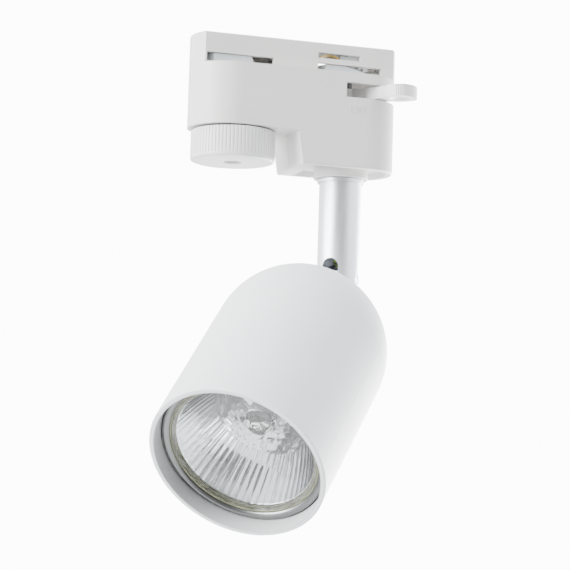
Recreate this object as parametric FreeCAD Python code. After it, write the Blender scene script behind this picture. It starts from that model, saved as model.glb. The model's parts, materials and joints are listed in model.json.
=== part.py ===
"""Track spotlight: rail adapter, stem with a tilt pivot, bullet head and reflector lamp.

Frame: millimetres, +Z up. The origin is the centre of the adapter's top face, the one
that goes up into the rail. +X runs along the rail and -Y is the front of the adapter.
The head is drawn hanging straight down from its pivot and is then tilted and panned.
"""
import FreeCAD
import Part
import math
import os

V = FreeCAD.Vector

# Adapter: a stadium-shaped body under a narrower block that goes into the rail.
END_R = 14.0
HALF_STRAIGHT = 22.2
BLOCK_HALF = 8.2
LEDGE_Z = -10.6
LEFT_FLOOR_Z = -31.5
DROP_FLOOR_Z = -43.1
WALL = 1.8
FLOOR = 2.0
STEP_TOP_X = -1.8
STEP_LOW_X = 0.3
STEP_FLOOR_X = 2.4
DECK_TOP_Z = -19.3
DECK_X = 10.0
CAVITY_LOW_Z = -39.3
POCKET_Z = -41.3
POCKET_X = 5.0
EDGE_FILLET = 0.6
SEAM = 0.3
BODY_LEN = 2 * (END_R + HALF_STRAIGHT)
SHELL_SCREWS = ((-31.5, -24.0, 7.0), (-10.5, -24.0, 10.0), (31.0, -30.0, 7.0))

# Phase dial: a ribbed knob under the left part that turns a cam in the block.
DIAL_X = -20.5
KNOB_R = 14.3
KNOB_TOP_Z = -32.1
KNOB_LOW_Z = -42.4
RIB_COUNT = 72
DIAL_SHAFT_R = 4.0
DIAL_TIP = 12.2
CAM_HALF = 7.4

# Lock lever and what it turns, on one axis above the stem.
LEVER_X = 18.2
LEVER_TOP_Z = -14.6
LEVER_LOW_Z = -18.6
LEVER_REACH = 27.7
LEVER_TURN = -48.0  # at rest the lever stands half way between the rail's direction and the front
ARM_HALF = 2.9
NECK_REACH = 13.5
SHOULDER_REACH = 20.0
PAD_HALF = 5.6
PAD_CORNER_R = 3.7
PAD_CORNER_REACH = 23.6
GRIP_TURNS = (88, 76, 64, 52, 40)
HUB_R = 6.0
LEVER_SHAFT_R = 2.5
CONTACT_HUB_R = 3.2
LOCK_TIP = 11.4

# Slots in the block: low x, high x, low z, high z.
DIAL_SLOT = (-33.0, -9.4, -10.1, -7.0)
CONTACT_SLOT = (6.3, 21.5, -5.4, -3.5)
LOCK_SLOT = (6.3, 29.2, -9.7, -7.1)
LEVER_SLOT_X = 14.8
LEVER_SLOT_Z = (-19.1, -14.0)

# Stem: a slotted tube that turns under the adapter.
STEM_X = 18.4
TUBE_R = 7.2
TUBE_BORE = 6.2
TUBE_TOP_Z = -46.7
PIVOT_Z = -80.0
TUBE_LOW_Z = PIVOT_Z - 8.5
SLOT_HALF = 2.9
SLOT_TOP_Z = -73.0
COLLAR_R = 9.3
COLLAR_LOW_Z = -45.4
NIPPLE_R = 5.0
NIPPLE_BORE = 3.2
NIPPLE_TOP_Z = -34.5
PIN_R = 1.5
PAN = -43.4
TILT = 48.3

# Head: distances down its axis from the pivot.
HEAD_R = 29.1
HEAD_WALL = 1.6
DOME_S = 40.8
RIM_S = 99.0
APEX_S = 12.0
SEAT_S = 87.5
FRONT_BORE = HEAD_R - HEAD_WALL
BACK_BORE = FRONT_BORE - 1.0
NECK_R = 2.6
NECK_BORE = 1.65
THREAD_R = 2.3
EYE_R = 5.6
EYE_HALF = 2.5
HOLDER_S = (32.0, 46.4)

# Lamp: a 50 mm reflector lamp with a two-pin twist base.
LAMP_R = 25.0
LAMP_FACE_S = 92.5
LAMP_BASE_S = 46.8
LAMP_NECK_S = 60.0
PIN_SPACING = 10.0
TWIST = 25.0

LEAD_R = 0.8
LEADS = (("live", 0.0, 1.2), ("neutral", 1.05, -0.6), ("earth", -1.05, -0.6))


def rod(r, low, high, x=0.0, y=0.0):
    """Upright cylinder between two heights."""
    return Part.makeCylinder(r, high - low, V(x, y, low))


def cross_rod(r, start, end, axis):
    """Cylinder from start, along axis, to the coordinate end."""
    length = end - start.dot(axis)
    return Part.makeCylinder(r, length, start, axis)


def block(x, y, z):
    """Box from three (low, high) pairs."""
    return Part.makeBox(x[1] - x[0], y[1] - y[0], z[1] - z[0], V(x[0], y[0], z[0]))


def ring(outer, inner, low, high, x=0.0, y=0.0):
    """Upright tube."""
    return rod(outer, low, high, x, y).cut(rod(inner, low - 1, high + 1, x, y))


def lathe(points, x=0.0):
    """Solid turned about a vertical axis from (radius, z) points."""
    corners = [V(r, 0, z) for r, z in points]
    face = Part.Face(Part.makePolygon(corners + corners[:1]))
    solid = face.revolve(V(0, 0, 0), V(0, 0, 1), 360)
    solid.translate(V(x, 0, 0))
    return solid


def stadium(r, low, high):
    """Upright prism with half-round ends about the adapter's two end axes."""
    body = block((-HALF_STRAIGHT, HALF_STRAIGHT), (-r, r), (low, high))
    for end in (-HALF_STRAIGHT, HALF_STRAIGHT):
        body = body.fuse(rod(r, low, high, end))
    return body.removeSplitter()


def hexagon(flats, low, high):
    """Upright hexagonal prism."""
    radius = flats / math.sqrt(3)
    turns = [math.radians(60 * k) for k in range(7)]
    corners = [V(radius * math.cos(a), radius * math.sin(a), low) for a in turns]
    return Part.Face(Part.makePolygon(corners)).extrude(V(0, 0, high - low))


def slab(outline, low, high):
    """Prism of a closed plan outline made of edges."""
    face = Part.Face(Part.Wire([edge.toShape() for edge in outline]))
    prism = face.extrude(V(0, 0, high - low))
    prism.translate(V(0, 0, low))
    return prism


def tube_along(points, r, bend):
    """Round lead of straight runs with a tangent arc at each inner point."""
    edges = []
    here = points[0]
    for before, corner, after in zip(points, points[1:], points[2:]):
        back = (before - corner).normalize()
        ahead = (after - corner).normalize()
        half = back.getAngle(ahead) / 2
        reach = bend / math.tan(half)
        start = corner + back * reach
        end = corner + ahead * reach
        centre = corner + (back + ahead).normalize() * (bend / math.sin(half))
        middle = centre + (corner - centre).normalize() * bend
        edges.append(Part.LineSegment(here, start).toShape())
        edges.append(Part.Arc(start, middle, end).toShape())
        here = end
    edges.append(Part.LineSegment(here, points[-1]).toShape())
    circle = Part.Circle(points[0], points[1] - points[0], r).toShape()
    return Part.Wire(edges).makePipeShell([Part.Wire(circle)], True, True)


def in_stem(shape):
    """Turn a piece drawn facing the front to the stem's pan angle, on the stem's axis."""
    placed = shape.copy()
    placed.rotate(V(0, 0, 0), V(0, 0, 1), PAN)
    placed.translate(V(STEM_X, 0, 0))
    return placed


def in_head(shape):
    """Tilt and pan a piece drawn hanging straight down from the pivot."""
    placed = shape.copy()
    placed.rotate(V(0, 0, 0), V(1, 0, 0), -TILT)
    placed.rotate(V(0, 0, 0), V(0, 0, 1), PAN)
    placed.translate(V(STEM_X, 0, PIVOT_Z))
    return placed


def edges_at(solid, test):
    """Edges whose points all pass a test."""
    chosen = []
    for edge in solid.Edges:
        ends = [edge.valueAt(edge.FirstParameter + k * (edge.LastParameter - edge.FirstParameter) / 4)
                for k in range(5)]
        if all(test(point) for point in ends):
            chosen.append(edge)
    return chosen


# ---- adapter ---------------------------------------------------------------------------

def step_side(offset):
    """Everything left of the drop's slanted left face, moved right by offset."""
    far = -2 * END_R
    corners = [V(-BODY_LEN, far, LEFT_FLOOR_Z), V(STEP_TOP_X + offset, far, LEFT_FLOOR_Z),
               V(STEP_LOW_X + offset, far, DROP_FLOOR_Z - 1), V(-BODY_LEN, far, DROP_FLOOR_Z - 1)]
    face = Part.Face(Part.makePolygon(corners + corners[:1]))
    return face.extrude(V(0, -2 * far, 0))


def adapter_outside():
    """Block, body and drop as one solid with softened edges."""
    body = stadium(END_R, DROP_FLOOR_Z, LEDGE_Z).cut(step_side(0))
    body = body.makeFillet(EDGE_FILLET, edges_at(body, lambda p: p.z < DROP_FLOOR_Z + 0.01))
    boss = stadium(END_R, LEDGE_Z - 1, 0)
    boss = boss.common(block((-BODY_LEN, BODY_LEN), (-BLOCK_HALF, BLOCK_HALF), (LEDGE_Z - 1, 0)))
    boss = boss.makeFillet(EDGE_FILLET, edges_at(boss, lambda p: p.z > -0.01))
    return body.fuse(boss).removeSplitter()


def adapter_cavity():
    """Space inside the adapter, with the deck and the left floor left standing."""
    inner = END_R - WALL
    low = stadium(inner, CAVITY_LOW_Z, LEDGE_Z - WALL)
    left_floor = step_side(STEP_FLOOR_X)
    left_floor.translate(V(0, 0, FLOOR))
    deck = block((DECK_X, BODY_LEN), (-END_R, END_R), (DECK_TOP_Z - FLOOR, DECK_TOP_Z))
    half = BLOCK_HALF - WALL
    high = stadium(inner, LEDGE_Z - WALL - 1, -FLOOR)
    high = high.common(block((-BODY_LEN, BODY_LEN), (-half, half), (LEDGE_Z - WALL - 1, -FLOOR)))
    return low.cut(left_floor).cut(deck).fuse(high)


def screw_bosses(outside):
    """Posts across the body that the shell screws run through."""
    posts = []
    for x, z, seat in SHELL_SCREWS:
        posts.append(cross_rod(3.1, V(x, -END_R, z), END_R, V(0, 1, 0)))
    return posts[0].multiFuse(posts[1:]).common(outside)


def screw_holes():
    """Pilot, clearance and head holes of the shell screws."""
    holes = []
    for x, z, seat in SHELL_SCREWS:
        holes.append(cross_rod(1.1, V(x, -6.0, z), 0.0, V(0, 1, 0)))
        holes.append(cross_rod(1.3, V(x, 0.0, z), seat, V(0, 1, 0)))
        holes.append(cross_rod(2.5, V(x, seat, z), END_R + 1, V(0, 1, 0)))
    return holes


def adapter_openings():
    """Slots and shaft holes cut through the shell."""
    across = (-END_R - 1, END_R + 1)
    cuts = [block(slot[:2], across, slot[2:]) for slot in (DIAL_SLOT, CONTACT_SLOT, LOCK_SLOT)]
    cuts.append(block((LEVER_SLOT_X, BODY_LEN), (-END_R - 1, PAD_HALF + 0.8), LEVER_SLOT_Z))
    cuts.append(rod(DIAL_SHAFT_R + 0.07, LEFT_FLOOR_Z - 1, LEFT_FLOOR_Z + FLOOR + 1, DIAL_X))
    cuts.append(rod(1.57, -FLOOR - 0.1, -1.0, DIAL_X))
    cuts.append(rod(1.57, -FLOOR - 0.1, -1.0, LEVER_X))
    cuts.append(rod(2.07, DECK_TOP_Z - FLOOR - 1, DECK_TOP_Z + 1, LEVER_X))
    cuts.append(rod(NIPPLE_R + 0.06, POCKET_Z - 1, CAVITY_LOW_Z + 1, STEM_X))
    pocket = stadium(END_R - 2.2, DROP_FLOOR_Z - 1, POCKET_Z)
    cuts.append(pocket.common(block((POCKET_X, BODY_LEN), across, (DROP_FLOOR_Z - 1, POCKET_Z))))
    return cuts


def pan_stop_post():
    """Post that the pan washer's tab meets at both ends of its turn."""
    return rod(1.0, CAVITY_LOW_Z - 0.5, CAVITY_LOW_Z + 3.0, STEM_X, -9.4)


def seam_groove():
    """Fine groove all round the adapter where its two halves meet."""
    end = END_R + HALF_STRAIGHT - SEAM
    corners = [V(-end, 0, -SEAM), V(end, 0, -SEAM), V(end, 0, DROP_FLOOR_Z + SEAM),
               V(STEP_LOW_X + SEAM, 0, DROP_FLOOR_Z + SEAM), V(STEP_TOP_X + SEAM, 0, LEFT_FLOOR_Z + SEAM),
               V(-end, 0, LEFT_FLOOR_Z + SEAM)]
    inside = Part.Face(Part.makePolygon(corners + corners[:1])).extrude(V(0, SEAM, 0))
    inside.translate(V(0, -SEAM / 2, 0))
    slice_all = block((-BODY_LEN, BODY_LEN), (-SEAM / 3, SEAM / 3), (DROP_FLOOR_Z - 1, 1))
    return slice_all.cut(inside)


def adapter_shells():
    """Front and back halves of the adapter's shell."""
    outside = adapter_outside()
    shell = outside.cut(adapter_cavity()).fuse(screw_bosses(outside)).fuse(pan_stop_post())
    shell = shell.cut(adapter_openings() + screw_holes() + [seam_groove()]).removeSplitter()
    size = (-BODY_LEN, BODY_LEN)
    front = shell.common(block(size, (-2 * END_R, 0), size))
    back = shell.common(block(size, (0, 2 * END_R), size))
    return {"adapter_front_shell": front, "adapter_back_shell": back}


def shell_screws():
    """Three cross-head screws that hold the two halves together."""
    screws = []
    for x, z, seat in SHELL_SCREWS:
        shank = cross_rod(1.1, V(x, -5.5, z), seat, V(0, 1, 0))
        head = cross_rod(2.2, V(x, seat, z), seat + 1.6, V(0, 1, 0))
        screw = shank.fuse(head)
        for half_x, half_z in ((1.3, 0.25), (0.25, 1.3)):
            recess = block((x - half_x, x + half_x), (seat + 0.9, seat + 2), (z - half_z, z + half_z))
            screw = screw.cut(recess)
        screws.append(screw)
    return Part.makeCompound(screws)


TERMINAL_X = (-7.0, 5.0)
TERMINAL_Z = (-28.0, -17.0)
TERMINAL_WAYS = (-5.0, 0.0, 5.0)


def terminal_block():
    """Moulded block with one screw way for each lead."""
    body = block(TERMINAL_X, (-8.0, 8.0), TERMINAL_Z)
    for y in TERMINAL_WAYS:
        body = body.cut(rod(1.6, TERMINAL_Z[1] - 4, TERMINAL_Z[1] + 1, -1.0, y))
    return body


def terminal_screws():
    """Slotted brass screws in the terminal ways."""
    screws = []
    for y in TERMINAL_WAYS:
        screw = rod(1.5, TERMINAL_Z[1] - 4, TERMINAL_Z[1] - 0.4, -1.0, y)
        slot = block((-2.5, 0.5), (y - 0.25, y + 0.25), (TERMINAL_Z[1] - 1.2, TERMINAL_Z[1]))
        screws.append(screw.cut(slot))
    return Part.makeCompound(screws)


def contact_springs():
    """Brass strips that stand up from the terminals beside the lever's contact."""
    strips = []
    for y in (-3.5, 3.5):
        strips.append(block((4.4, 4.8), (y - 1.5, y + 1.5), (TERMINAL_Z[1], -3.2)))
    return Part.makeCompound(strips)


def adapter_leads():
    """One lead from each terminal way to the top of the stem."""
    leads = {}
    run_z = -24.0
    for name, along, side in LEADS:
        points = [V(TERMINAL_X[1], side, run_z + along), V(STEM_X + along, side, run_z + along),
                  V(STEM_X + along, side, NIPPLE_TOP_Z + 0.1)]
        leads["adapter_lead_" + name] = tube_along(points, LEAD_R, 4.0)
    return leads


def stem_collar():
    """Plain collar under the adapter that the stem turns against."""
    body = ring(COLLAR_R, NIPPLE_R + 0.06, COLLAR_LOW_Z, POCKET_Z, STEM_X)
    return body.makeFillet(0.4, edges_at(body, lambda p: p.z < COLLAR_LOW_Z + 0.01)[:1])


# ---- phase dial ------------------------------------------------------------------------

def phase_knob():
    """Cup-shaped knob with fine grip ribs and a screw recess underneath."""
    outline = [(0, KNOB_LOW_Z), (KNOB_R - 0.9, KNOB_LOW_Z), (KNOB_R - 0.25, KNOB_LOW_Z + 0.3),
               (KNOB_R, KNOB_LOW_Z + 0.9), (KNOB_R, KNOB_TOP_Z - 0.3), (KNOB_R - 0.3, KNOB_TOP_Z),
               (KNOB_R - 1.8, KNOB_TOP_Z), (KNOB_R - 1.8, -39.6), (6.0, -39.6), (6.0, -33.0), (0, -33.0)]
    knob = lathe(outline, DIAL_X)
    grooves = []
    for k in range(RIB_COUNT):
        turn = 2 * math.pi * k / RIB_COUNT
        x = DIAL_X + (KNOB_R + 0.1) * math.cos(turn)
        grooves.append(rod(0.34, KNOB_LOW_Z + 1.4, KNOB_TOP_Z + 1, x, (KNOB_R + 0.1) * math.sin(turn)))
    grooves.append(rod(3.1, KNOB_LOW_Z - 1, KNOB_LOW_Z + 2.6, DIAL_X))
    grooves.append(rod(1.3, KNOB_LOW_Z, KNOB_TOP_Z, DIAL_X))
    grooves.append(rod(DIAL_SHAFT_R, -38.2, KNOB_TOP_Z, DIAL_X))
    return knob.cut(grooves)


def knob_screw():
    """Screw up through the knob into its shaft."""
    seat = KNOB_LOW_Z + 2.6
    screw = rod(2.6, seat - 1.4, seat, DIAL_X).fuse(rod(1.25, seat, -33.0, DIAL_X))
    for half_x, half_y in ((1.5, 0.3), (0.3, 1.5)):
        x = (DIAL_X - half_x, DIAL_X + half_x)
        screw = screw.cut(block(x, (-half_y, half_y), (seat - 2, seat - 0.6)))
    return screw


def phase_shaft():
    """Shaft that joins the knob, the wiper drum and the cam."""
    outline = [(0, -38.2), (DIAL_SHAFT_R, -38.2), (DIAL_SHAFT_R, -29.3), (5.6, -29.3), (5.6, -28.3),
               (DIAL_SHAFT_R, -28.3), (DIAL_SHAFT_R, -11.2), (3.0, -11.2), (3.0, -3.0), (1.5, -3.0),
               (1.5, -1.2), (0, -1.2)]
    return lathe(outline, DIAL_X).cut(rod(1.25, -39, -33.0, DIAL_X))


def phase_drum():
    """Moulded drum on the shaft that carries the wiper."""
    return ring(6.4, DIAL_SHAFT_R, -26.0, -15.0, DIAL_X).cut(ring(7.0, 5.6, -22.0, -19.0, DIAL_X))


def phase_wiper():
    """Brass ring let into the drum."""
    return ring(6.2, 5.6, -22.0, -19.0, DIAL_X)


def flatted_disc(x, radius, low, high):
    """Disc about an upright axis with a flat along each side, just inside the block."""
    flats = (-CAM_HALF, CAM_HALF)
    return rod(radius, low, high, x).common(block((x - radius, x + radius), flats, (low, high)))


def phase_cam():
    """Lobe in the dial slot, with a slanted end, that turns out into the rail."""
    low, high = DIAL_SLOT[2] + 0.15, DIAL_SLOT[3] - 0.2
    far = DIAL_X + DIAL_TIP + 1
    corners = [V(DIAL_X + 3.4, -9, high + 0.1), V(far, -9, high + 0.1), V(far, -9, low - 1),
               V(DIAL_X + 4.7, -9, low - 1)]
    slant = Part.Face(Part.makePolygon(corners + corners[:1])).extrude(V(0, 18, 0))
    cam = flatted_disc(DIAL_X, DIAL_TIP, low, high)
    return cam.cut([slant, rod(3.0, low - 1, high + 1, DIAL_X)]).removeSplitter()


# ---- lock lever ------------------------------------------------------------------------

def pad_corner(turn, sign):
    """Point on the pad's rounded corner; the turn is 90 at its side and 0 at its tip."""
    along = LEVER_X + PAD_CORNER_REACH + PAD_CORNER_R * math.cos(math.radians(turn))
    return V(along, sign * (PAD_HALF - PAD_CORNER_R + PAD_CORNER_R * math.sin(math.radians(turn))), 0)


def lever_outline():
    """Plan of the lever: hub, straight arm, and a wider pad with large rounded corners."""
    neck = LEVER_X + NECK_REACH
    hub = math.sqrt(HUB_R ** 2 - ARM_HALF ** 2)
    tip_turn = 10
    outline = [Part.Arc(V(LEVER_X + hub, ARM_HALF, 0), V(LEVER_X - HUB_R, 0, 0),
                        V(LEVER_X + hub, -ARM_HALF, 0))]
    sides = []
    for sign in (-1, 1):
        arm = V(neck, sign * ARM_HALF, 0)
        flare = V(LEVER_X + 17.0, sign * 3.75, 0)
        shoulder = V(LEVER_X + SHOULDER_REACH, sign * 5.2, 0)
        bulge = V(LEVER_X + 21.9, sign * (PAD_HALF - 0.05), 0)
        sides.append([Part.LineSegment(V(LEVER_X + hub, sign * ARM_HALF, 0), arm),
                      Part.Arc(arm, flare, shoulder),
                      Part.Arc(shoulder, bulge, pad_corner(90, sign)),
                      Part.Arc(pad_corner(90, sign), pad_corner(50, sign), pad_corner(tip_turn, sign))])
    outline += sides[0]
    tip = V(LEVER_X + LEVER_REACH, 0, 0)
    outline.append(Part.Arc(pad_corner(tip_turn, -1), tip, pad_corner(tip_turn, 1)))
    return outline + sides[1][::-1]


def lock_lever():
    """Flat lever with grip ribs round its pad's corners and a thumb dimple below."""
    lever = slab(lever_outline(), LEVER_LOW_Z, LEVER_TOP_Z)
    cuts = [rod(LEVER_SHAFT_R, LEVER_LOW_Z - 1, LEVER_TOP_Z + 1, LEVER_X)]
    for turn in GRIP_TURNS:
        for sign in (-1, 1):
            groove = pad_corner(turn, sign)
            cuts.append(rod(0.24, LEVER_LOW_Z - 1, LEVER_TOP_Z + 1, groove.x, groove.y))
    cuts.append(Part.makeSphere(8.0, V(LEVER_X + 22.0, 0, LEVER_LOW_Z - 7.3)))
    lever = lever.cut(cuts)
    lever.rotate(V(LEVER_X, 0, 0), V(0, 0, 1), LEVER_TURN)
    return lever


def lever_shaft():
    """Upright shaft from the deck to the block's roof."""
    r = LEVER_SHAFT_R
    step = CONTACT_HUB_R
    outline = [(0, -20.9), (2.0, -20.9), (2.0, DECK_TOP_Z + 0.1), (r, DECK_TOP_Z + 0.1), (r, LEVER_TOP_Z),
               (step, LEVER_TOP_Z), (step, -9.6), (r, -9.6), (r, -3.0), (1.5, -3.0), (1.5, -1.2), (0, -1.2)]
    return lathe(outline, LEVER_X)


def lock_cam():
    """Lobe in the lower slot with a ramp on its short end."""
    low, high = LOCK_SLOT[2] + 0.45, LOCK_SLOT[3] - 0.2
    cam = flatted_disc(LEVER_X, LOCK_TIP, low, high)
    far = LEVER_X + LOCK_TIP + 1
    corners = [V(LEVER_X - 1.7, -9, high + 0.02), V(far, -9, high + 0.02),
               V(far, -9, low - 0.1), V(LEVER_X + 5.8, -9, low - 0.1), V(LEVER_X + 5.8, -9, low + 0.15)]
    ramp = Part.Face(Part.makePolygon(corners + corners[:1])).extrude(V(0, 18, 0))
    return cam.cut([ramp, rod(LEVER_SHAFT_R, low - 1, high + 1, LEVER_X)])


def earth_contact():
    """Small plated tongue beside the lock cam."""
    strap = block((LEVER_X + 3.0, LEVER_X + 6.2), (-7.2, -5.2), (-7.6, -7.2))
    tip = block((LEVER_X + 4.6, LEVER_X + 6.2), (-7.2, -5.2), (-8.5, -7.2))
    foot = block((LEVER_X + 3.0, LEVER_X + 3.4), (-7.2, -2.0), (-7.6, -7.2))
    return strap.multiFuse([tip, foot])


def contact_rotor():
    """Moulded holder in the upper slot for the live contact."""
    body = block((LEVER_X - 3.4, LEVER_X + 2.9), (-6.4, 2.9), (-5.3, -3.7))
    return body.fuse(rod(CONTACT_HUB_R, -7.0, -5.3, LEVER_X)).cut(rod(LEVER_SHAFT_R, -8, -2, LEVER_X))


def live_contact():
    """Bowed brass strip that turns out into the rail."""
    span, rise, thick = 7.6, 1.1, 0.35
    right = LEVER_X - 3.4
    foot_z = -5.25
    lower = Part.Arc(V(right - span, 0, foot_z), V(right - span / 2, 0, foot_z + rise), V(right, 0, foot_z))
    high = foot_z + thick
    upper = Part.Arc(V(right, 0, high), V(right - span / 2, 0, high + rise), V(right - span, 0, high))
    ends = [Part.LineSegment(V(right, 0, foot_z), V(right, 0, high)),
            Part.LineSegment(V(right - span, 0, high), V(right - span, 0, foot_z))]
    edges = [lower.toShape(), ends[0].toShape(), upper.toShape(), ends[1].toShape()]
    strip = Part.Face(Part.Wire(edges)).extrude(V(0, 5.2, 0))
    strip.translate(V(0, -6.7, 0))
    return strip


# ---- stem ------------------------------------------------------------------------------

def stem_tube():
    """Plated tube, closed on top, with a slot that faces the way the head tilts."""
    roof = ring(TUBE_BORE, NIPPLE_R, TUBE_TOP_Z - 2, TUBE_TOP_Z)
    tube = ring(TUBE_R, TUBE_BORE, TUBE_LOW_Z, TUBE_TOP_Z).fuse(roof)
    arch_z = SLOT_TOP_Z - SLOT_HALF
    slot = block((-SLOT_HALF, SLOT_HALF), (-TUBE_R - 1, 0), (TUBE_LOW_Z - 1, arch_z))
    arch = cross_rod(SLOT_HALF, V(0, -TUBE_R - 1, arch_z), 0.0, V(0, 1, 0))
    pin_hole = cross_rod(PIN_R, V(-TUBE_R - 1, 0, PIVOT_Z), TUBE_R + 1, V(1, 0, 0))
    return in_stem(tube.cut([slot, arch, pin_hole]).removeSplitter())


def stem_ring():
    """Plated ring between the collar and the tube."""
    return in_stem(ring(7.9, NIPPLE_R, TUBE_TOP_Z, TUBE_TOP_Z + 1.1))


def stem_nipple():
    """Threaded hollow stud that joins the tube to the adapter."""
    return in_stem(ring(NIPPLE_R, NIPPLE_BORE, TUBE_TOP_Z - 5.5, NIPPLE_TOP_Z))


def nipple_nuts():
    """Round nut in the tube and hexagon nut in the adapter."""
    low = ring(6.1, NIPPLE_R, TUBE_TOP_Z - 5.0, TUBE_TOP_Z - 2)
    high = hexagon(14.0, -38.5, -35.8).cut(rod(NIPPLE_R, -39, -35))
    return {"tube_nut": in_stem(low), "adapter_nut": in_stem(high)}


def pan_washer():
    """Washer with a tab that limits the stem's turn."""
    body = ring(8.0, NIPPLE_R, -39.2, -38.5)
    tab = block((-1.0, 1.0), (7.0, 10.4), (-39.2, -38.5))
    return in_stem(body.fuse(tab))


def pivot_pin():
    """Cross pin pressed into the tube, just below flush at both ends."""
    end = TUBE_R - 0.25
    return in_stem(cross_rod(PIN_R, V(-end, 0, PIVOT_Z), end, V(1, 0, 0)))


def pivot_bushes():
    """Spacers on the pin that keep the eye in the middle of the tube."""
    bushes = []
    for low, high in ((-5.5, -EYE_HALF - 0.06), (EYE_HALF + 0.06, 5.5)):
        bush = cross_rod(2.6, V(low, 0, PIVOT_Z), high, V(1, 0, 0))
        bushes.append(bush.cut(cross_rod(PIN_R, V(low - 1, 0, PIVOT_Z), high + 1, V(1, 0, 0))))
    return in_stem(Part.makeCompound(bushes))


def stem_leads():
    """The leads down the inside of the stem, to just above the pivot's eye."""
    leads = {}
    for name, along, side in LEADS:
        lead = rod(LEAD_R, PIVOT_Z + EYE_R + 0.4, NIPPLE_TOP_Z + 0.1, STEM_X + along, side)
        leads["stem_lead_" + name] = lead
    return leads


# ---- head ------------------------------------------------------------------------------

def bullet(radius, apex_flat, rim):
    """Solid dome and cylinder; the dome's tip is cut flat at apex_flat."""
    flat_r = math.sqrt(radius ** 2 - (DOME_S - apex_flat) ** 2)
    mid = (math.asin(flat_r / radius) + math.pi / 2) / 2
    arc = Part.Arc(V(flat_r, 0, -apex_flat),
                   V(radius * math.sin(mid), 0, radius * math.cos(mid) - DOME_S), V(radius, 0, -DOME_S))
    corners = [V(radius, 0, -DOME_S), V(radius, 0, -rim), V(0, 0, -rim), V(0, 0, -apex_flat),
               V(flat_r, 0, -apex_flat)]
    edges = [arc.toShape()]
    for start, end in zip(corners, corners[1:]):
        edges.append(Part.LineSegment(start, end).toShape())
    return Part.Face(Part.Wire(edges)).revolve(V(0, 0, 0), V(0, 0, 1), 360)


def head_shell():
    """Bullet-shaped housing: closed dome, open rim, and a seat for the lamp ring."""
    outer = bullet(HEAD_R, APEX_S, RIM_S)
    outer = outer.makeFillet(0.45, edges_at(outer, lambda p: p.z < -RIM_S + 0.01))
    inner = bullet(BACK_BORE, APEX_S + 2.7, SEAT_S + 1)
    mouth = rod(FRONT_BORE, -RIM_S - 1, -SEAT_S)
    hole = rod(THREAD_R, -APEX_S - 4, -APEX_S + 1)
    nut_seat = rod(5.2, -APEX_S - 5.5, -APEX_S - 2.7)
    return in_head(outer.cut([inner, mouth, hole, nut_seat]))


def head_stud():
    """Hollow stud: an eye on the pivot pin, a neck, and a thread into the dome."""
    eye = Part.makeSphere(EYE_R).common(cross_rod(EYE_R + 1, V(-EYE_HALF, 0, 0), EYE_HALF, V(1, 0, 0)))
    neck = rod(NECK_R, -APEX_S, -4.0)
    thread = rod(THREAD_R, -23.0, -APEX_S)
    bore = rod(NECK_BORE, -24.0, -5.6)
    port = cross_rod(0.9, V(-4, 0, -6.5), 4.0, V(1, 0, 0))
    pin_hole = cross_rod(PIN_R + 0.05, V(-4, 0, 0), 4.0, V(1, 0, 0))
    return in_head(eye.fuse(neck).fuse(thread).cut([bore, port, pin_hole]))


def head_nuts():
    """Nut against the dome and nut under the bracket."""
    nuts = {}
    for name, near in (("dome_nut", APEX_S + 2.7), ("bracket_nut", APEX_S + 6.3)):
        nut = hexagon(8.0, -near - 2.6, -near).cut(rod(THREAD_R, -near - 3, -near + 1))
        nuts[name] = in_head(nut)
    return nuts


BRACKET_S = APEX_S + 5.3


def socket_bracket():
    """Bent steel strap from the stud to both sides of the lamp holder."""
    plate = block((-10.0, 10.0), (-4.0, 4.0), (-BRACKET_S - 1, -BRACKET_S))
    legs = []
    for side in (-1, 1):
        x = sorted((side * 9.0, side * 10.0))
        legs.append(block(x, (-4.0, 4.0), (-42.0, -BRACKET_S - 1)))
    strap = plate.multiFuse(legs).cut(rod(THREAD_R, -BRACKET_S - 2, -BRACKET_S + 1))
    return in_head(strap.cut(cross_rod(1.5, V(-11, 0, -37.0), 11.0, V(1, 0, 0))))


def holder_screws():
    """Two screws through the strap into the lamp holder."""
    screws = []
    for side in (-1, 1):
        shank = Part.makeCylinder(1.5, 5.0, V(side * 5.0, 0, -37.0), V(side, 0, 0))
        head = Part.makeCylinder(2.7, 1.5, V(side * 10.0, 0, -37.0), V(side, 0, 0))
        screws.append(in_head(shank.fuse(head)))
    return Part.makeCompound(screws)


def key_way(side, width, low, high):
    """Curved slot that a lamp pin turns along."""
    face = Part.Face(Part.makePolygon([V(0, 5 - width, low), V(0, 5 + width, low), V(0, 5 + width, high),
                                       V(0, 5 - width, high), V(0, 5 - width, low)]))
    way = face.revolve(V(0, 0, 0), V(0, 0, 1), -TWIST)
    ends = [rod(width, low, high, 5 * math.sin(math.radians(turn)), 5 * math.cos(math.radians(turn)))
            for turn in (0, TWIST)]
    slot = way.multiFuse(ends)
    if side < 0:
        slot.rotate(V(0, 0, 0), V(0, 0, 1), 180)
    return slot


def lamp_holder():
    """Ceramic holder with a keyhole way for each lamp pin."""
    body = block((-9.0, 9.0), (-14.0, 14.0), (-HOLDER_S[1], -HOLDER_S[0]))
    body = body.makeFillet(3.0, edges_at(body, lambda p: abs(p.x) > 8.9 and abs(p.y) > 13.9))
    turn = math.radians(TWIST)
    cuts = []
    for side in (-1, 1):
        cuts.append(key_way(side, 1.85, -HOLDER_S[1] - 1, -43.0))
        cuts.append(key_way(side, 2.85, -43.6, -39.0))
        cuts.append(rod(2.85, -HOLDER_S[1] - 1, -43.0, side * 5 * math.sin(turn), side * 5 * math.cos(turn)))
        cuts.append(rod(LEAD_R + 0.1, -HOLDER_S[0] - 2.0, -HOLDER_S[0] + 1, 0, side * 5.0))
        cuts.append(Part.makeCylinder(1.5, 5.0, V(side * 5.0, 0, -37.0), V(side, 0, 0)))
    return in_head(body.cut(cuts))


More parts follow.
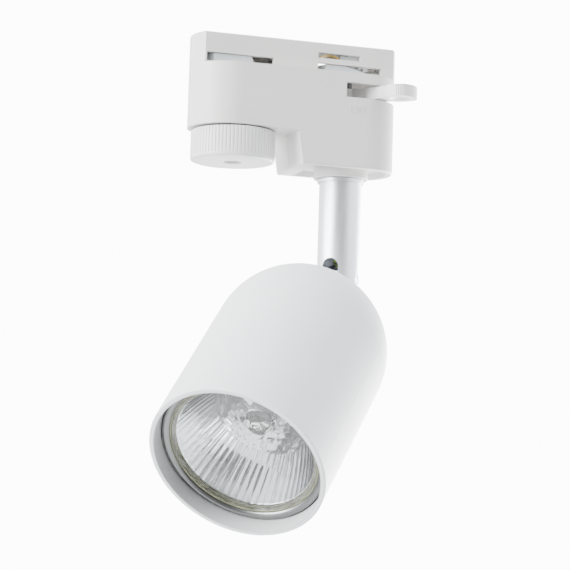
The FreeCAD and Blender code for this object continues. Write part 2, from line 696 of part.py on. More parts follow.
def head_leads():
    """Leads from the stud's port, down its bore and into the lamp holder."""
    leads = {}
    for name, side in (("live", 1), ("neutral", -1)):
        near = side * 0.82
        wide = side * 5.0
        points = [V(0, near, -7.2), V(0, near, -24.6), V(0, wide, -28.8), V(0, wide, -HOLDER_S[0] - 1.8)]
        leads["head_lead_" + name] = in_head(tube_along(points, LEAD_R, 2.0))
    return leads


def lamp_ring():
    """Turned metal ring that holds the lamp's rim, with a lip that slopes inward."""
    outer = FRONT_BORE - 0.15
    outline = [(outer, -SEAT_S), (outer, -92.6), (outer - 0.15, -93.0), (outer - 0.45, -93.35),
               (outer - 0.8, -93.5), (26.1, -93.5), (25.6, -93.35), (25.15, -93.05), (24.8, -92.7),
               (25.5, -92.7), (25.5, -SEAT_S)]
    return in_head(lathe(outline))


# ---- lamp ------------------------------------------------------------------------------

def lamp_pins():
    """Two pins with wide feet that lock behind the holder's keyholes."""
    pins = []
    for side in (-1, 1):
        y = side * PIN_SPACING / 2
        pins.append(in_head(rod(1.5, -LAMP_BASE_S, -41.0, 0, y).fuse(rod(2.4, -42.6, -41.0, 0, y))))
    return Part.makeCompound(pins)


def lamp_base():
    """Ceramic base, wider across the pins, with a round shoulder."""
    lug = block((-6.5, 6.5), (-12.0, 12.0), (-53.0, -LAMP_BASE_S))
    lug = lug.makeFillet(3.0, edges_at(lug, lambda p: abs(p.x) > 6.4 and abs(p.y) > 11.9))
    shoulder = lathe([(0, -LAMP_NECK_S), (11.0, -LAMP_NECK_S), (12.8, -56.0), (12.8, -53.0), (0, -53.0)])
    return in_head(lug.fuse(shoulder))


def bowl(radius_at_face, radius_at_neck, near, face):
    """Solid bowl that opens from near to face on a rounded curve."""
    depth = face - near
    arc = Part.Arc(V(radius_at_neck, 0, -near), V(radius_at_neck + 0.66 * (radius_at_face - radius_at_neck),
                   0, -near - 0.47 * depth), V(radius_at_face, 0, -face))
    corners = [V(radius_at_face, 0, -face), V(0, 0, -face), V(0, 0, -near), V(radius_at_neck, 0, -near)]
    edges = [arc.toShape()]
    for start, end in zip(corners, corners[1:]):
        edges.append(Part.LineSegment(start, end).toShape())
    return Part.Face(Part.Wire(edges)).revolve(V(0, 0, 0), V(0, 0, 1), 360)


def lamp_reflector():
    """Pressed-glass reflector with a thick rim."""
    outer = bowl(24.4, 11.0, LAMP_NECK_S, 90.0).fuse(rod(LAMP_R, -LAMP_FACE_S, -89.0))
    inner = bowl(22.8, 8.5, LAMP_NECK_S + 2.5, 90.6)
    mouth = rod(22.8, -LAMP_FACE_S - 1, -90.5)
    seat = rod(24.2, -LAMP_FACE_S - 1, -91.4)
    return in_head(outer.cut([inner, mouth, seat, rod(5.6, -65, -LAMP_NECK_S + 1)]))


def lamp_glass():
    """Clear disc over the reflector."""
    return in_head(rod(24.15, -LAMP_FACE_S, -91.4))


def lamp_capsule():
    """Quartz capsule along the lamp's axis with a pinched foot."""
    bulb = lathe([(0, -82.0), (2.6, -81.4), (4.4, -79.6), (5.0, -77.0), (5.0, -68.5), (4.2, -66.0),
                  (3.0, -64.8), (0, -64.8)])
    hollow = lathe([(0, -80.9), (2.4, -80.3), (3.6, -79.0), (4.1, -77.0), (4.1, -68.7), (3.4, -66.8),
                    (0, -66.2)])
    foot = block((-4.4, 4.4), (-1.4, 1.4), (-65.5, -LAMP_NECK_S))
    return in_head(bulb.cut(hollow).fuse(foot))


def lamp_filament():
    """Coil of the capsule, as a fine upright hoop between its two posts."""
    posts = [rod(0.25, -75.0, -66.6, side * 1.6, 0) for side in (-1, 1)]
    coil = cross_rod(0.6, V(-1.9, 0, -75.4), 1.9, V(1, 0, 0))
    return in_head(coil.multiFuse(posts))


def all_pieces():
    """Every node of the spotlight, by name."""
    pieces = adapter_shells()
    pieces.update(adapter_leads())
    pieces.update(nipple_nuts())
    pieces.update(stem_leads())
    pieces.update(head_nuts())
    pieces.update(head_leads())
    makers = (shell_screws, terminal_block, terminal_screws, contact_springs, stem_collar, phase_knob,
              knob_screw, phase_shaft, phase_drum, phase_wiper, phase_cam, lock_lever, lever_shaft,
              lock_cam, earth_contact, contact_rotor, live_contact, stem_tube, stem_ring, stem_nipple,
              pan_washer, pivot_pin, pivot_bushes, head_shell, head_stud, socket_bracket,
              holder_screws, lamp_holder, lamp_ring, lamp_pins, lamp_base, lamp_reflector,
              lamp_glass, lamp_capsule, lamp_filament)
    for maker in makers:
        pieces[maker.__name__] = maker()
    return pieces


os.makedirs("parts", exist_ok=True)
for node, shape in all_pieces().items():
    print(node, shape.ShapeType, len(shape.Solids), shape.isValid(), round(shape.Volume, 1))
    shape.exportStep("parts/" + node + ".step")
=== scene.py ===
"""Track spotlight: finishes for the CAD pieces, detailed lamp pieces, studio and camera."""
import json
import math

import bmesh
import bpy
from mathutils import Matrix, Vector


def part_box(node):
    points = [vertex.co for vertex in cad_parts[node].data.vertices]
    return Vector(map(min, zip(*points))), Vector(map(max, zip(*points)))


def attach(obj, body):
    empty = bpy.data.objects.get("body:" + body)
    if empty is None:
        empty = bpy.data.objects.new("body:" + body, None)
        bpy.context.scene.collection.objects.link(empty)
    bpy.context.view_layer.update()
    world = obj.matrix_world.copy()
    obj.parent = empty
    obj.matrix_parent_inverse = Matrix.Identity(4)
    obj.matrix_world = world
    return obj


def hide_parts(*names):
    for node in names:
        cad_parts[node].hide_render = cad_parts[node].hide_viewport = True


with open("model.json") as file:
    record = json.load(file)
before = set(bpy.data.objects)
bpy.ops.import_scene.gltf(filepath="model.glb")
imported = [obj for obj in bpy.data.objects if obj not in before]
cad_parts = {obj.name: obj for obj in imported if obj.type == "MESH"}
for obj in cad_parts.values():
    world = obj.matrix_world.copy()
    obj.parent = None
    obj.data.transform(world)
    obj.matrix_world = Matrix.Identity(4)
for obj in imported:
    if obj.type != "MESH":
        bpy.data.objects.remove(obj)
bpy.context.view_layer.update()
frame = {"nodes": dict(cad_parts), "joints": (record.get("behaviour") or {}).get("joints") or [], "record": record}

NODES = frame["nodes"]
JOINTS = {joint["name"]: joint for joint in frame["joints"]}
SLOT_OF = {part["node"]: part["material_slot"] for part in frame["record"]["subparts"]}

# The head's own axes: pivot point, and the unit vector out through the lamp.
PIVOT = Vector(JOINTS["head_tilt"]["pos_m"])
OUTWARD = Vector(JOINTS["lamp_twist"]["axis"]).normalized()
SIDEWAYS = Vector(JOINTS["head_tilt"]["axis"]).normalized()
UPWARD = OUTWARD.cross(SIDEWAYS)

# Camera: a long lens a little below the object, looking slightly up and to the right.
CAMERA_YAW = math.radians(18.36)
CAMERA_PITCH = math.radians(6.65)
CAMERA_ROLL = math.radians(1.74)
CAMERA_DISTANCE = 0.785
CAMERA_AIM = Vector((-0.0004, 0.0001, -0.0827))
CAMERA_LENS = 146.8
CAMERA_SENSOR = 36.0
CAMERA_CLIP = (0.01, 100.0)

# Studio: brightness of the room, and of the white sweep that the camera sees. The fades say how
# squarely a part of the sky faces its direction where the change starts and ends.
ROOM_FRONT = (-0.30, -0.94, -0.15)
FRONT_FADE = (0.45, 0.88)
SIDE_LIGHT = 3.1
FRONT_LIGHT = 0.4
DOWNWARD = (0, 0, -1)
BELOW_FADE = (-0.1, 0.75)
BELOW_SHARE = 0.12
SWEEP_LIGHT = 16.0
SKY_COLOUR = (0.97, 0.985, 1.0, 1)
LIGHT_SIZE = 0.9
KEY_LIGHT = ((-1.4, -0.25, 0.25), (0, 0, -0.08), 58)
RIM_LIGHT = ((0.9, 0.7, -0.35), (0, 0, -0.1), 75)
FLOOR_HALF = 1.2
FLOOR_Z = -1.1

# Raised mark: its left end a little left of the lever's axis, its foot below the lever.
MARK_X = JOINTS["lever_swing"]["pos_m"][0] - 0.0025
MARK_BELOW_LEVER = 0.0060
MARK_SIZE = 0.0036
MARK_RELIEF = 0.0002
MARK_EDGE = 0.00005
MARK_SINK = 0.00012


# ---- the head's own axes ---------------------------------------------------------------

def head_place(x, y, s):
    """Point x sideways, y up and s outward from the pivot, on the head's own axes."""
    return PIVOT + SIDEWAYS * x + UPWARD * y + OUTWARD * s


def along_head(node):
    """Nearest and farthest distance of a CAD node from the pivot, outward along the head."""
    reach = [(vertex.co - PIVOT).dot(OUTWARD) for vertex in NODES[node].data.vertices]
    return min(reach), max(reach)


def radius_round_axis(node):
    """Largest distance of a CAD node's vertices from the head's axis."""
    radii = []
    for vertex in NODES[node].data.vertices:
        offset = vertex.co - PIVOT
        radii.append((offset - OUTWARD * offset.dot(OUTWARD)).length)
    return max(radii)


# The head's bore is this much wider than the ring that sits in it.
BORE_R = radius_round_axis("lamp_ring") + 0.00015
MOUTH_S = along_head("head_shell")[1]

# The painted shade on the mouth's inner wall ends just outside the bore, starts past the dome and fades towards
# the mouth's edge.
MOUTH_SHADE_EDGE_R = (BORE_R + 0.0002, BORE_R + 0.0005)
MOUTH_SHADE_START_S = (MOUTH_S - 0.044, MOUTH_S - 0.039)
MOUTH_SHADE_FADE_S = (MOUTH_S - 0.010, MOUTH_S)
MOUTH_SHADE_AT_EDGE = 0.4


# ---- material helpers ------------------------------------------------------------------

def new_material(name, **inputs):
    """Principled material; values that are the same all over sit on the shader's sockets."""
    mat = bpy.data.materials.new(name)
    mat.use_nodes = True
    shader = mat.node_tree.nodes["Principled BSDF"]
    for key, value in inputs.items():
        shader.inputs[key.replace("_", " ")].default_value = value
    return mat


def add(mat, kind, **settings):
    """Adds a node and sets its properties or its inputs by name."""
    node = mat.node_tree.nodes.new(kind)
    for key, value in settings.items():
        if hasattr(node, key):
            setattr(node, key, value)
        else:
            node.inputs[key.replace("_", " ")].default_value = value
    return node


def link(mat, source, target):
    """Joins an output socket to an input socket."""
    mat.node_tree.links.new(source, target)


def shader_of(mat):
    """The material's Principled shader."""
    return mat.node_tree.nodes["Principled BSDF"]


def object_coords(mat, stretch=(1, 1, 1)):
    """Position on the piece in metres, optionally stretched."""
    coords = add(mat, "ShaderNodeTexCoord")
    mapping = add(mat, "ShaderNodeMapping")
    mapping.inputs["Scale"].default_value = stretch
    link(mat, coords.outputs["Object"], mapping.inputs["Vector"])
    return mapping.outputs["Vector"]


def noise(mat, scale, detail=2.0, stretch=(1, 1, 1)):
    """Noise over the piece; scale counts features per metre."""
    texture = add(mat, "ShaderNodeTexNoise", Scale=scale, Detail=detail)
    link(mat, object_coords(mat, stretch), texture.inputs["Vector"])
    return texture.outputs["Fac"]


def ramp(mat, factor, low, high):
    """Blends between two colours over the middle of a 0 to 1 factor."""
    node = add(mat, "ShaderNodeValToRGB")
    node.color_ramp.elements[0].position = 0.3
    node.color_ramp.elements[1].position = 0.7
    node.color_ramp.elements[0].color = (*low, 1)
    node.color_ramp.elements[1].color = (*high, 1)
    link(mat, factor, node.inputs["Fac"])
    return node.outputs["Color"]


def spread(mat, factor, low, high, start=0.0, end=1.0):
    """Value that goes from low to high as factor goes from start to end."""
    node = add(mat, "ShaderNodeMapRange", From_Min=start, From_Max=end, To_Min=low, To_Max=high)
    link(mat, factor, node.inputs["Value"])
    return node.outputs["Result"]


def times(mat, first, second):
    """Product of two values."""
    node = add(mat, "ShaderNodeMath", operation="MULTIPLY")
    link(mat, first, node.inputs[0])
    link(mat, second, node.inputs[1])
    return node.outputs["Value"]


def vector_math(mat, operation, source, constant=None):
    """Vector maths node on a source socket and, where it takes one, a fixed vector."""
    node = add(mat, "ShaderNodeVectorMath", operation=operation)
    link(mat, source, node.inputs[0])
    if constant is not None:
        node.inputs[1].default_value = constant
    return node


def colour_of(mat, output):
    """Uses an output as the material's colour."""
    link(mat, output, shader_of(mat).inputs["Base Color"])


def roughness_of(mat, output):
    """Uses an output as the material's roughness."""
    link(mat, output, shader_of(mat).inputs["Roughness"])


def bump(mat, height, depth):
    """Relief of the given depth in metres."""
    node = add(mat, "ShaderNodeBump", Distance=depth)
    link(mat, height, node.inputs["Height"])
    link(mat, node.outputs["Normal"], shader_of(mat).inputs["Normal"])


# ---- finishes --------------------------------------------------------------------------

def moulded(name, colour, gloss=0.42):
    """Satin moulded plastic with a fine spark texture and slight tone drift."""
    mat = new_material(name, IOR=1.46)
    light = [min(1.0, c * 1.02) for c in colour]
    dark = [c * 0.97 for c in colour]
    colour_of(mat, ramp(mat, noise(mat, 60), dark, light))
    roughness_of(mat, spread(mat, noise(mat, 900), gloss - 0.05, gloss + 0.07))
    bump(mat, noise(mat, 3500, 3.0), 5e-6)
    return mat


def mouth_shade_mask(mat):
    """How much painted shade there is: all of it deep inside the mouth, none on the head's outside."""
    from_pivot = vector_math(mat, "SUBTRACT", object_coords(mat), PIVOT).outputs["Vector"]
    outward = vector_math(mat, "DOT_PRODUCT", from_pivot, OUTWARD).outputs["Value"]
    off_axis = vector_math(mat, "CROSS_PRODUCT", from_pivot, OUTWARD).outputs["Vector"]
    radius = vector_math(mat, "LENGTH", off_axis).outputs["Value"]
    inner = spread(mat, radius, 1.0, 0.0, *MOUTH_SHADE_EDGE_R)
    past_dome = spread(mat, outward, 0.0, 1.0, *MOUTH_SHADE_START_S)
    fade = spread(mat, outward, 1.0, MOUTH_SHADE_AT_EDGE, *MOUTH_SHADE_FADE_S)
    return times(mat, times(mat, inner, past_dome), fade)


def powder_coat_and_mouth_shade(name, colour, mouth_shade_grey):
    """Matte powder coating: fine orange peel, uneven sheen, and grey painted shade on the wall inside the mouth.
    """
    mat = new_material(name, IOR=1.5)
    light = [min(1.0, c * 1.015) for c in colour]
    dark = [c * 0.98 for c in colour]
    # Grey painted shade is mixed into the colour on the wall inside the mouth.
    mouth_shade_mix = add(mat, "ShaderNodeMixRGB")
    link(mat, mouth_shade_mask(mat), mouth_shade_mix.inputs["Fac"])
    link(mat, ramp(mat, noise(mat, 45), dark, light), mouth_shade_mix.inputs["Color1"])
    mouth_shade_mix.inputs["Color2"].default_value = (*mouth_shade_grey, 1)
    colour_of(mat, mouth_shade_mix.outputs["Color"])
    roughness_of(mat, spread(mat, noise(mat, 1500), 0.5, 0.62))
    bump(mat, noise(mat, 2600, 4.0), 1.2e-5)
    return mat


def plated(name, colour, gloss, stretch=(1, 1, 1)):
    """Metal with faint drawn lines along the direction that stretch squeezes."""
    mat = new_material(name, Metallic=1.0)
    light = [min(1.0, c * 1.04) for c in colour]
    dark = [c * 0.93 for c in colour]
    lines = noise(mat, 1800, 3.0, stretch)
    colour_of(mat, ramp(mat, lines, dark, light))
    roughness_of(mat, spread(mat, noise(mat, 500, 4.0, stretch), gloss * 0.8, gloss * 1.3))
    bump(mat, lines, 2e-6)
    return mat


def ceramic(name, dark, light):
    """Unglazed ceramic or cement with a fine tooth."""
    mat = new_material(name)
    colour_of(mat, ramp(mat, noise(mat, 400, 4.0), dark, light))
    roughness_of(mat, spread(mat, noise(mat, 1200), 0.6, 0.8))
    bump(mat, noise(mat, 3000, 3.0), 1e-5)
    return mat


def clear_glass(name):
    """Thin clear glass with barely uneven polish."""
    mat = new_material(name, IOR=1.45, Transmission_Weight=1.0, Base_Color=(1, 1, 1, 1))
    roughness_of(mat, spread(mat, noise(mat, 300), 0.0, 0.02))
    bump(mat, noise(mat, 120, 2.0), 4e-6)
    return mat


def rim_glass(name):
    """Thick pressed glass that looks olive where light comes through its edge."""
    mat = new_material(name, IOR=1.5, Transmission_Weight=0.35)
    colour_of(mat, ramp(mat, noise(mat, 220, 3.0), (0.24, 0.25, 0.15), (0.40, 0.41, 0.28)))
    roughness_of(mat, spread(mat, noise(mat, 400), 0.12, 0.25))
    bump(mat, noise(mat, 350, 2.0), 1.5e-5)
    return mat


def silicone(name, colour):
    """Soft lead sleeve with a dusty surface."""
    mat = new_material(name)
    colour_of(mat, ramp(mat, noise(mat, 700), [c * 0.85 for c in colour], colour))
    roughness_of(mat, spread(mat, noise(mat, 1500), 0.45, 0.6))
    bump(mat, noise(mat, 4000), 4e-6)
    return mat


MATERIALS = {
    "shell_white": moulded("shell_white", (0.76, 0.745, 0.73)),
    "dial_white": moulded("dial_white", (0.80, 0.80, 0.79), 0.38),
    # The cams are darker than white plastic: their grey is painted shade of the slots they sit in.
    "cam_white": moulded("cam_white", (0.60, 0.65, 0.66), 0.3),
    "inner_plastic": moulded("inner_plastic", (0.10, 0.10, 0.105), 0.5),
    # The second colour is grey painted shade for the wall inside the mouth.
    "head_white": powder_coat_and_mouth_shade("head_white", (0.80, 0.815, 0.84), (0.42, 0.43, 0.43)),
    "stem_chrome": plated("stem_chrome", (0.82, 0.845, 0.88), 0.42, (1, 1, 0.05)),
    "steel": plated("steel", (0.72, 0.72, 0.73), 0.2),
    "brass": plated("brass", (0.80, 0.52, 0.14), 0.25),
    "bush_nylon": moulded("bush_nylon", (0.75, 0.72, 0.66)),
    "ring_metal": plated("ring_metal", (0.21, 0.215, 0.215), 0.30),
    "ceramic": ceramic("ceramic", (0.72, 0.70, 0.65), (0.82, 0.80, 0.76)),
    "reflector_silver": plated("reflector_silver", (0.86, 0.88, 0.89), 0.06),
    "clear_glass": clear_glass("clear_glass"),
    "pin_metal": plated("pin_metal", (0.62, 0.61, 0.58), 0.25),
    "tungsten": plated("tungsten", (0.25, 0.25, 0.26), 0.4),
    "rim_glass": rim_glass("rim_glass"),
    "eye_chrome": plated("eye_chrome", (0.85, 0.86, 0.88), 0.12),
    "cement": ceramic("cement", (0.09, 0.075, 0.06), (0.16, 0.14, 0.12)),
    "lead_brown": silicone("lead_brown", (0.12, 0.05, 0.025)),
    "lead_blue": silicone("lead_blue", (0.05, 0.12, 0.35)),
    "lead_earth": silicone("lead_earth", (0.25, 0.42, 0.08)),
}


def dress_cad_nodes():
    """Gives every CAD node the material of its slot."""
    for name, node in NODES.items():
        node.data.materials.clear()
        node.data.materials.append(MATERIALS["eye_chrome" if name == "head_stud" else SLOT_OF[name]])


# ---- mesh helpers ----------------------------------------------------------------------

# How finely turned rings and their rounded corners are divided.
RING_COLUMNS = 128
CORNER_STEPS = 4


def new_piece(name, slot, nodes, surface, finish=None):
    """Mesh piece of the lamp from (vertices, faces), in place of the CAD nodes given."""
    vertices, faces = surface
    mesh = bpy.data.meshes.new(name)
    mesh.from_pydata(vertices, [], faces)
    mesh.validate()
    work = bmesh.new()
    work.from_mesh(mesh)
    bmesh.ops.recalc_face_normals(work, faces=work.faces)
    work.to_mesh(mesh)
    work.free()
    mesh.polygons.foreach_set("use_smooth", [True] * len(mesh.polygons))
    declare(bpy.data.objects.new(name, mesh), "lamp", slot, nodes, finish)


def declare(piece, body, slot, nodes, finish=None):
    """Says which body a piece rides on, which CAD nodes it stands for, and its slot."""
    bpy.context.scene.collection.objects.link(piece)
    piece.data.materials.append(MATERIALS[finish or slot])
    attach(piece, body)
    if nodes:
        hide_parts(*nodes)


def turned(sections, columns):
    """Closed surface round the head's axis; section(angle) gives (radius, s), and they join in a loop."""
    vertices = []
    for section in sections:
        for column in range(columns):
            angle = 2 * math.pi * column / columns
            radius, s = section(angle)
            vertices.append(head_place(radius * math.cos(angle), radius * math.sin(angle), s))
    rows = len(sections)
    faces = []
    for row in range(rows):
        here, there = row * columns, (row + 1) % rows * columns
        for column in range(columns):
            beside = (column + 1) % columns
            faces.append((here + column, here + beside, there + beside, there + column))
    return vertices, faces


def plain_section(radius, s):
    """Section that is a true circle."""
    return lambda angle: (radius, s)


def lathe_profile(points):
    """Closed ring from (radius, s) points."""
    return turned([plain_section(radius, s) for radius, s in points], RING_COLUMNS)


def rounded(points, size):
    """Points of a closed outline with each corner rounded over a distance of size."""
    result = []
    count = len(points)
    for index, corner in enumerate(points):
        here = Vector(corner)
        before = Vector(points[index - 1]) - here
        after = Vector(points[(index + 1) % count]) - here
        reach = min(size, before.length * 0.45, after.length * 0.45)
        start, end = here + before.normalized() * reach, here + after.normalized() * reach
        for step in range(CORNER_STEPS + 1):
            k = step / CORNER_STEPS
            result.append(tuple(start * (1 - k) ** 2 + here * 2 * k * (1 - k) + end * k ** 2))
    return result


# ---- lamp ------------------------------------------------------------------------------

# Where the lamp's CAD pieces lie: distances from the pivot, and radii round the head's axis.
GLASS_NEAR, LAMP_FACE = along_head("lamp_glass")
GLASS_R = radius_round_axis("lamp_glass")
LAMP_R = radius_round_axis("lamp_reflector")
BOWL_NEAR = along_head("lamp_reflector")[0]
CAPSULE_TIP = along_head("lamp_capsule")[1]

# Reflector: its mouth and throat, wall, curve and pressed pattern.
MIRROR_R = LAMP_R - 0.0022
THROAT_R = 0.0094
THROAT_S = BOWL_NEAR + 0.0025
MIRROR_WALL = 0.0012
MIRROR_TO_GLASS = 0.0008
MIRROR_BULGE = 2.4
MIRROR_CONE_SHARE = 0.28
ROW_SPACING = 0.8
FLUTES = 60
BRICKS = 36
INNER_FACETS = 24
FLUTE_FROM_R = 0.0172
INNER_TO_R = 0.0115
FACET_ROWS = 13
FLUTE_CROWN = 0.00012
FLUTE_TILT = 0.00004
PILLOW_CROWN = 0.00004
FACET_TILT = 0.00005
MESH_PER_FACET = 8
OUTER_ROWS = 24

# Glass rim, and the cement and collar in the throat.
RIM_GAP = 0.00005
RIM_DEPTH = 0.0024
RIM_ROUND = 0.0003
CEMENT_BORE_R = 0.0046
CEMENT_CROWN_R = 0.0068
COLLAR_SKIN = 0.0004

# Capsule sections from foot to tip: half widths and distance below the tip in millimetres, and the
# power of the superellipse, 2 for a round one and more for a squarer one.
BULB_OUTSIDE = [(4.2, 1.2, 5, 20.5), (4.4, 1.4, 5, 20.0), (4.4, 1.4, 5, 17.8), (4.3, 1.9, 3.5, 16.5),
                (4.4, 3.2, 2.4, 15.0), (4.8, 4.6, 2, 13.5), (5.0, 5.0, 2, 11.5), (5.0, 5.0, 2, 6.2),
                (4.7, 4.7, 2, 4.2), (3.9, 3.9, 2, 2.6), (2.7, 2.7, 2, 1.6), (1.5, 1.3, 2, 1.1),
                (0.95, 0.7, 2, 0.7), (0.75, 0.5, 2, 0.3), (0.3, 0.2, 2, 0.0)]
BULB_INSIDE = [(1.2, 1.0, 2, 2.3), (2.4, 2.4, 2, 2.6), (3.4, 3.4, 2, 3.5), (4.1, 4.1, 2, 5.0),
               (4.3, 4.3, 2, 6.8), (4.3, 4.3, 2, 11.5), (3.9, 3.5, 2, 13.5), (2.6, 1.6, 2, 14.8),
               (0.4, 0.3, 2, 15.2)]
BULB_COLUMNS = 64

# Filament: the coil, and the posts that carry it.
COIL_TURNS = 13
COIL_STEPS = 10
COIL_R = 0.00055
COIL_HALF = 0.0017
COIL_WIRE_R = 0.00013
COIL_BELOW_TOP = 0.0006
POST_FOOT_X = 0.0016
POST_X = 0.0021
POST_BENDS = (0.003, 0.0006)


def mirror_curve(t):
    """Radius and distance of the reflector's inner curve, from throat (0) to mouth (1)."""
    mouth_s = GLASS_NEAR - MIRROR_TO_GLASS
    radius = THROAT_R + (MIRROR_R - THROAT_R) * t ** ROW_SPACING
    out = (radius - THROAT_R) / (MIRROR_R - THROAT_R)
    rise = MIRROR_CONE_SHARE * out + (1 - MIRROR_CONE_SHARE) * out ** MIRROR_BULGE
    return radius, THROAT_S + (mouth_s - THROAT_S) * rise


def facet_tilt(column, row):
    """Repeatable scattered number for one facet, from -1 to 1."""
    return 2 * (math.sin(column * 12.9898 + row * 78.233) * 43758.5453 % 1) - 1


def facet_relief(radius, t, angle):
    """Height of the pressed pattern: long flutes outside, staggered facets further in."""
    turn = angle / (2 * math.pi)
    if radius > FLUTE_FROM_R:
        column, across = divmod(turn * FLUTES, 1)
        across = 2 * across - 1
        return FLUTE_CROWN * (1 - across ** 2) + FLUTE_TILT * facet_tilt(column, 0) * across
    around = INNER_FACETS if radius < INNER_TO_R else BRICKS
    row, along = divmod(t * FACET_ROWS, 1)
    column, across = divmod((turn * around + 0.5 * (row % 2)) % around, 1)
    across, along = 2 * across - 1, 2 * along - 1
    pillow = PILLOW_CROWN * (2 - across ** 2 - along ** 2)
    return pillow + FACET_TILT * (facet_tilt(column, row) * across + facet_tilt(row, column) * along)


def mirror_section(t):
    """Section of the faceted inner surface at t."""
    radius, s = mirror_curve(t)
    return lambda angle: (radius - facet_relief(radius, t, angle), s)


def make_mirror():
    """Pressed reflector: faceted inside, smooth outside, closed at mouth and throat."""
    inner_rows = FACET_ROWS * MESH_PER_FACET
    sections = [mirror_section(row / inner_rows) for row in range(inner_rows + 1)]
    for row in range(OUTER_ROWS, -1, -1):
        t = row / OUTER_ROWS
        radius, s = mirror_curve(t)
        sections.append(plain_section(radius + MIRROR_WALL * 0.9, s - MIRROR_WALL * (1 - t)))
    surface = turned(sections, FLUTES * MESH_PER_FACET)
    new_piece("lamp_mirror", "reflector_silver", ["lamp_reflector"], surface)


def make_lamp_rim():
    """Pressed-glass rim with the step that the cover glass sits in."""
    step_r = GLASS_R + RIM_GAP
    seat = GLASS_NEAR - RIM_GAP
    inner_r = MIRROR_R + 0.0001
    low = GLASS_NEAR - RIM_DEPTH
    outline = [(inner_r, seat), (step_r, seat), (step_r, LAMP_FACE), (LAMP_R, LAMP_FACE),
               (LAMP_R, low), (MIRROR_R + MIRROR_WALL, low), (inner_r, GLASS_NEAR - 0.0010)]
    surface = lathe_profile(rounded(outline, RIM_ROUND))
    new_piece("lamp_rim", "clear_glass", ["lamp_reflector"], surface, "rim_glass")


def make_throat():
    """Pale cement round the capsule's foot, in a dark pressed collar."""
    edge = THROAT_R - COLLAR_SKIN
    low = THROAT_S - 0.0012
    cement = [(CEMENT_BORE_R, low), (edge, low), (edge, THROAT_S + 0.0002),
              (CEMENT_CROWN_R, THROAT_S + 0.0014), (CEMENT_BORE_R, THROAT_S + 0.0009)]
    new_piece("lamp_cement", "ceramic", [], lathe_profile(rounded(cement, 0.0005)))
    inner = edge + 0.00003
    collar = [(inner, low), (THROAT_R + 0.0002, low), (THROAT_R + 0.0001, THROAT_S + 0.0004),
              (THROAT_R - 0.0002, THROAT_S + 0.0009), (inner, THROAT_S + 0.0004)]
    new_piece("lamp_collar", "ceramic", [], lathe_profile(rounded(collar, 0.0002)), "cement")


def bulb_section(half_x, half_y, power, below_tip):
    """Superellipse section of the capsule."""
    def section(angle):
        c, w = abs(math.cos(angle)), abs(math.sin(angle))
        radius = ((c / half_x) ** power + (w / half_y) ** power) ** (-1 / power)
        return radius / 1000, CAPSULE_TIP - below_tip / 1000
    return section


def make_capsule():
    """Quartz capsule: pinched foot, straight bulb and a small sealed tip."""
    vertices, faces = [], []
    for shell in (BULB_OUTSIDE, BULB_INSIDE):
        shell_vertices, shell_faces = turned([bulb_section(*row) for row in shell], BULB_COLUMNS)
        base = len(vertices)
        last = base + len(shell_vertices) - BULB_COLUMNS
        vertices += shell_vertices
        for face in shell_faces[:-BULB_COLUMNS]:
            faces.append(tuple(base + corner for corner in face))
        faces.append(tuple(base + column for column in range(BULB_COLUMNS)))
        faces.append(tuple(last + column for column in range(BULB_COLUMNS)))
    new_piece("lamp_bulb", "clear_glass", ["lamp_capsule"], (vertices, faces))


def make_filament():
    """Fine tungsten coil across the capsule on two bent posts."""
    curve = bpy.data.curves.new("lamp_coil", "CURVE")
    curve.dimensions = "3D"
    curve.bevel_depth = COIL_WIRE_R
    curve.bevel_resolution = 2
    foot, top = along_head("lamp_filament")
    middle = top - COIL_BELOW_TOP
    wires = [[]]
    count = COIL_TURNS * COIL_STEPS
    for step in range(count + 1):
        angle = 2 * math.pi * step / COIL_STEPS
        x = COIL_HALF * (2 * step / count - 1)
        wires[0].append(head_place(x, COIL_R * math.cos(angle), middle + COIL_R * math.sin(angle)))
    for side in (-1, 1):
        bends = [(POST_FOOT_X, foot)] + [(POST_X, middle - drop) for drop in POST_BENDS]
        bends.append((COIL_HALF, middle))
        wires.append([head_place(side * x, 0, s) for x, s in bends])
    for points in wires:
        spline = curve.splines.new("POLY")
        spline.points.add(len(points) - 1)
        for point, place in zip(spline.points, points):
            point.co = (*place, 1)
    declare(bpy.data.objects.new("lamp_coil", curve), "lamp", "tungsten", ["lamp_filament"])


# ---- moulded marks ---------------------------------------------------------------------

def make_off_mark():
    """Raised word OFF under the lever, on the adapter's rounded front."""
    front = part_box("adapter_front_shell")[0][1]
    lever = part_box("lock_lever")
    curve = bpy.data.curves.new("off_mark", "FONT")
    curve.body = "OFF"
    curve.size = MARK_SIZE
    curve.extrude = MARK_RELIEF
    curve.bevel_depth = MARK_EDGE
    curve.align_x = "LEFT"
    piece = bpy.data.objects.new("off_mark", curve)
    piece.rotation_euler = (math.pi / 2, 0, 0)
    piece.location = (MARK_X, front + MARK_SINK, lever[0][2] - MARK_BELOW_LEVER)
    declare(piece, "adapter", "shell_white", [])


# ---- studio ----------------------------------------------------------------------------

def facing(tree, direction, fade, away, towards):
    """Brightness that goes from one value to another as the sky turns to a direction."""
    coords = tree.nodes.new("ShaderNodeTexCoord")
    dot = tree.nodes.new("ShaderNodeVectorMath")
    dot.operation = "DOT_PRODUCT"
    dot.inputs[1].default_value = direction
    tree.links.new(coords.outputs["Generated"], dot.inputs[0])
    level = tree.nodes.new("ShaderNodeMapRange")
    level.interpolation_type = "SMOOTHSTEP"
    level.inputs["From Min"].default_value, level.inputs["From Max"].default_value = fade
    level.inputs["To Min"].default_value = away
    level.inputs["To Max"].default_value = towards
    tree.links.new(dot.outputs["Value"], level.inputs["Value"])
    return level.outputs["Result"]


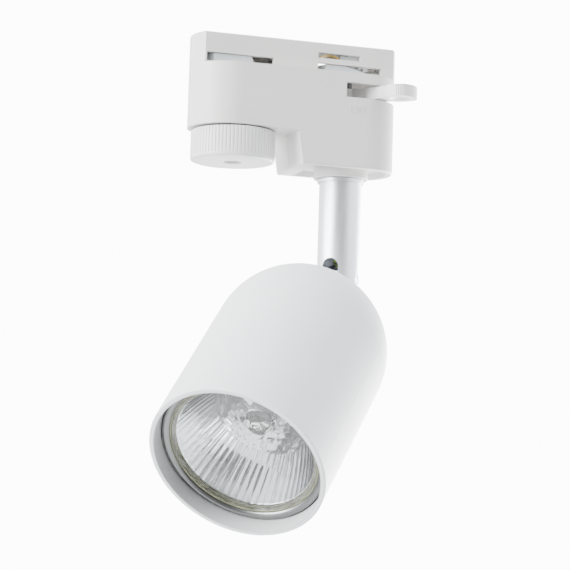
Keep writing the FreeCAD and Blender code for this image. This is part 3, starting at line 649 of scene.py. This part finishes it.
def make_world():
    """Pale room, brighter at its sides than in front, and a white sweep behind the object."""
    world = bpy.data.worlds.new("studio")
    world.use_nodes = True
    tree = world.node_tree
    soft = tree.nodes["Background"]
    soft.inputs["Color"].default_value = SKY_COLOUR
    front = facing(tree, ROOM_FRONT, FRONT_FADE, SIDE_LIGHT, FRONT_LIGHT)
    below = facing(tree, DOWNWARD, BELOW_FADE, 1.0, BELOW_SHARE)
    product = tree.nodes.new("ShaderNodeMath")
    product.operation = "MULTIPLY"
    tree.links.new(front, product.inputs[0])
    tree.links.new(below, product.inputs[1])
    tree.links.new(product.outputs["Value"], soft.inputs["Strength"])
    sweep = tree.nodes.new("ShaderNodeBackground")
    sweep.inputs["Strength"].default_value = SWEEP_LIGHT
    path = tree.nodes.new("ShaderNodeLightPath")
    mix = tree.nodes.new("ShaderNodeMixShader")
    tree.links.new(path.outputs["Is Camera Ray"], mix.inputs["Fac"])
    tree.links.new(soft.outputs["Background"], mix.inputs[1])
    tree.links.new(sweep.outputs["Background"], mix.inputs[2])
    tree.links.new(mix.outputs["Shader"], tree.nodes["World Output"].inputs["Surface"])
    bpy.context.scene.world = world


def make_light(name, place, aim, power):
    """Square soft light at place that faces aim."""
    data = bpy.data.lights.new(name, "AREA")
    data.size = LIGHT_SIZE
    data.energy = power
    light = bpy.data.objects.new(name, data)
    light.location = place
    light.rotation_mode = "QUATERNION"
    light.rotation_quaternion = (Vector(aim) - Vector(place)).to_track_quat("-Z", "Y")
    bpy.context.scene.collection.objects.link(light)


def make_floor():
    """Plain pale floor well below the hanging spotlight."""
    mesh = bpy.data.meshes.new("floor")
    corners = [(x * FLOOR_HALF, y * FLOOR_HALF, FLOOR_Z) for x, y in ((-1, -1), (1, -1), (1, 1), (-1, 1))]
    mesh.from_pydata(corners, [], [(0, 1, 2, 3)])
    floor = bpy.data.objects.new("floor", mesh)
    bpy.context.scene.collection.objects.link(floor)
    mat = new_material("floor_pale", Roughness=0.8)
    colour_of(mat, ramp(mat, noise(mat, 3), (0.58, 0.58, 0.58), (0.62, 0.62, 0.62)))
    mesh.materials.append(mat)


def make_camera():
    """Camera at the photographed viewing angle."""
    yaw, pitch, roll = CAMERA_YAW, CAMERA_PITCH, CAMERA_ROLL
    ahead = Vector((math.sin(yaw) * math.cos(pitch), math.cos(yaw) * math.cos(pitch), math.sin(pitch)))
    right = Vector((math.cos(yaw), -math.sin(yaw), 0.0))
    up = right.cross(ahead)
    turned_right = right * math.cos(roll) + up * math.sin(roll)
    turned_up = up * math.cos(roll) - right * math.sin(roll)
    data = bpy.data.cameras.new("camera")
    data.lens = CAMERA_LENS
    data.sensor_width = CAMERA_SENSOR
    data.clip_start, data.clip_end = CAMERA_CLIP
    camera = bpy.data.objects.new("camera", data)
    axes = Matrix((turned_right, turned_up, -ahead)).transposed().to_4x4()
    camera.matrix_world = Matrix.Translation(CAMERA_AIM - ahead * CAMERA_DISTANCE) @ axes
    bpy.context.scene.collection.objects.link(camera)
    bpy.context.scene.camera = camera


dress_cad_nodes()
make_world()
make_floor()
make_light("key", *KEY_LIGHT)
make_light("rim", *RIM_LIGHT)
make_camera()
make_mirror()
make_lamp_rim()
make_throat()
make_capsule()
make_filament()
make_off_mark()
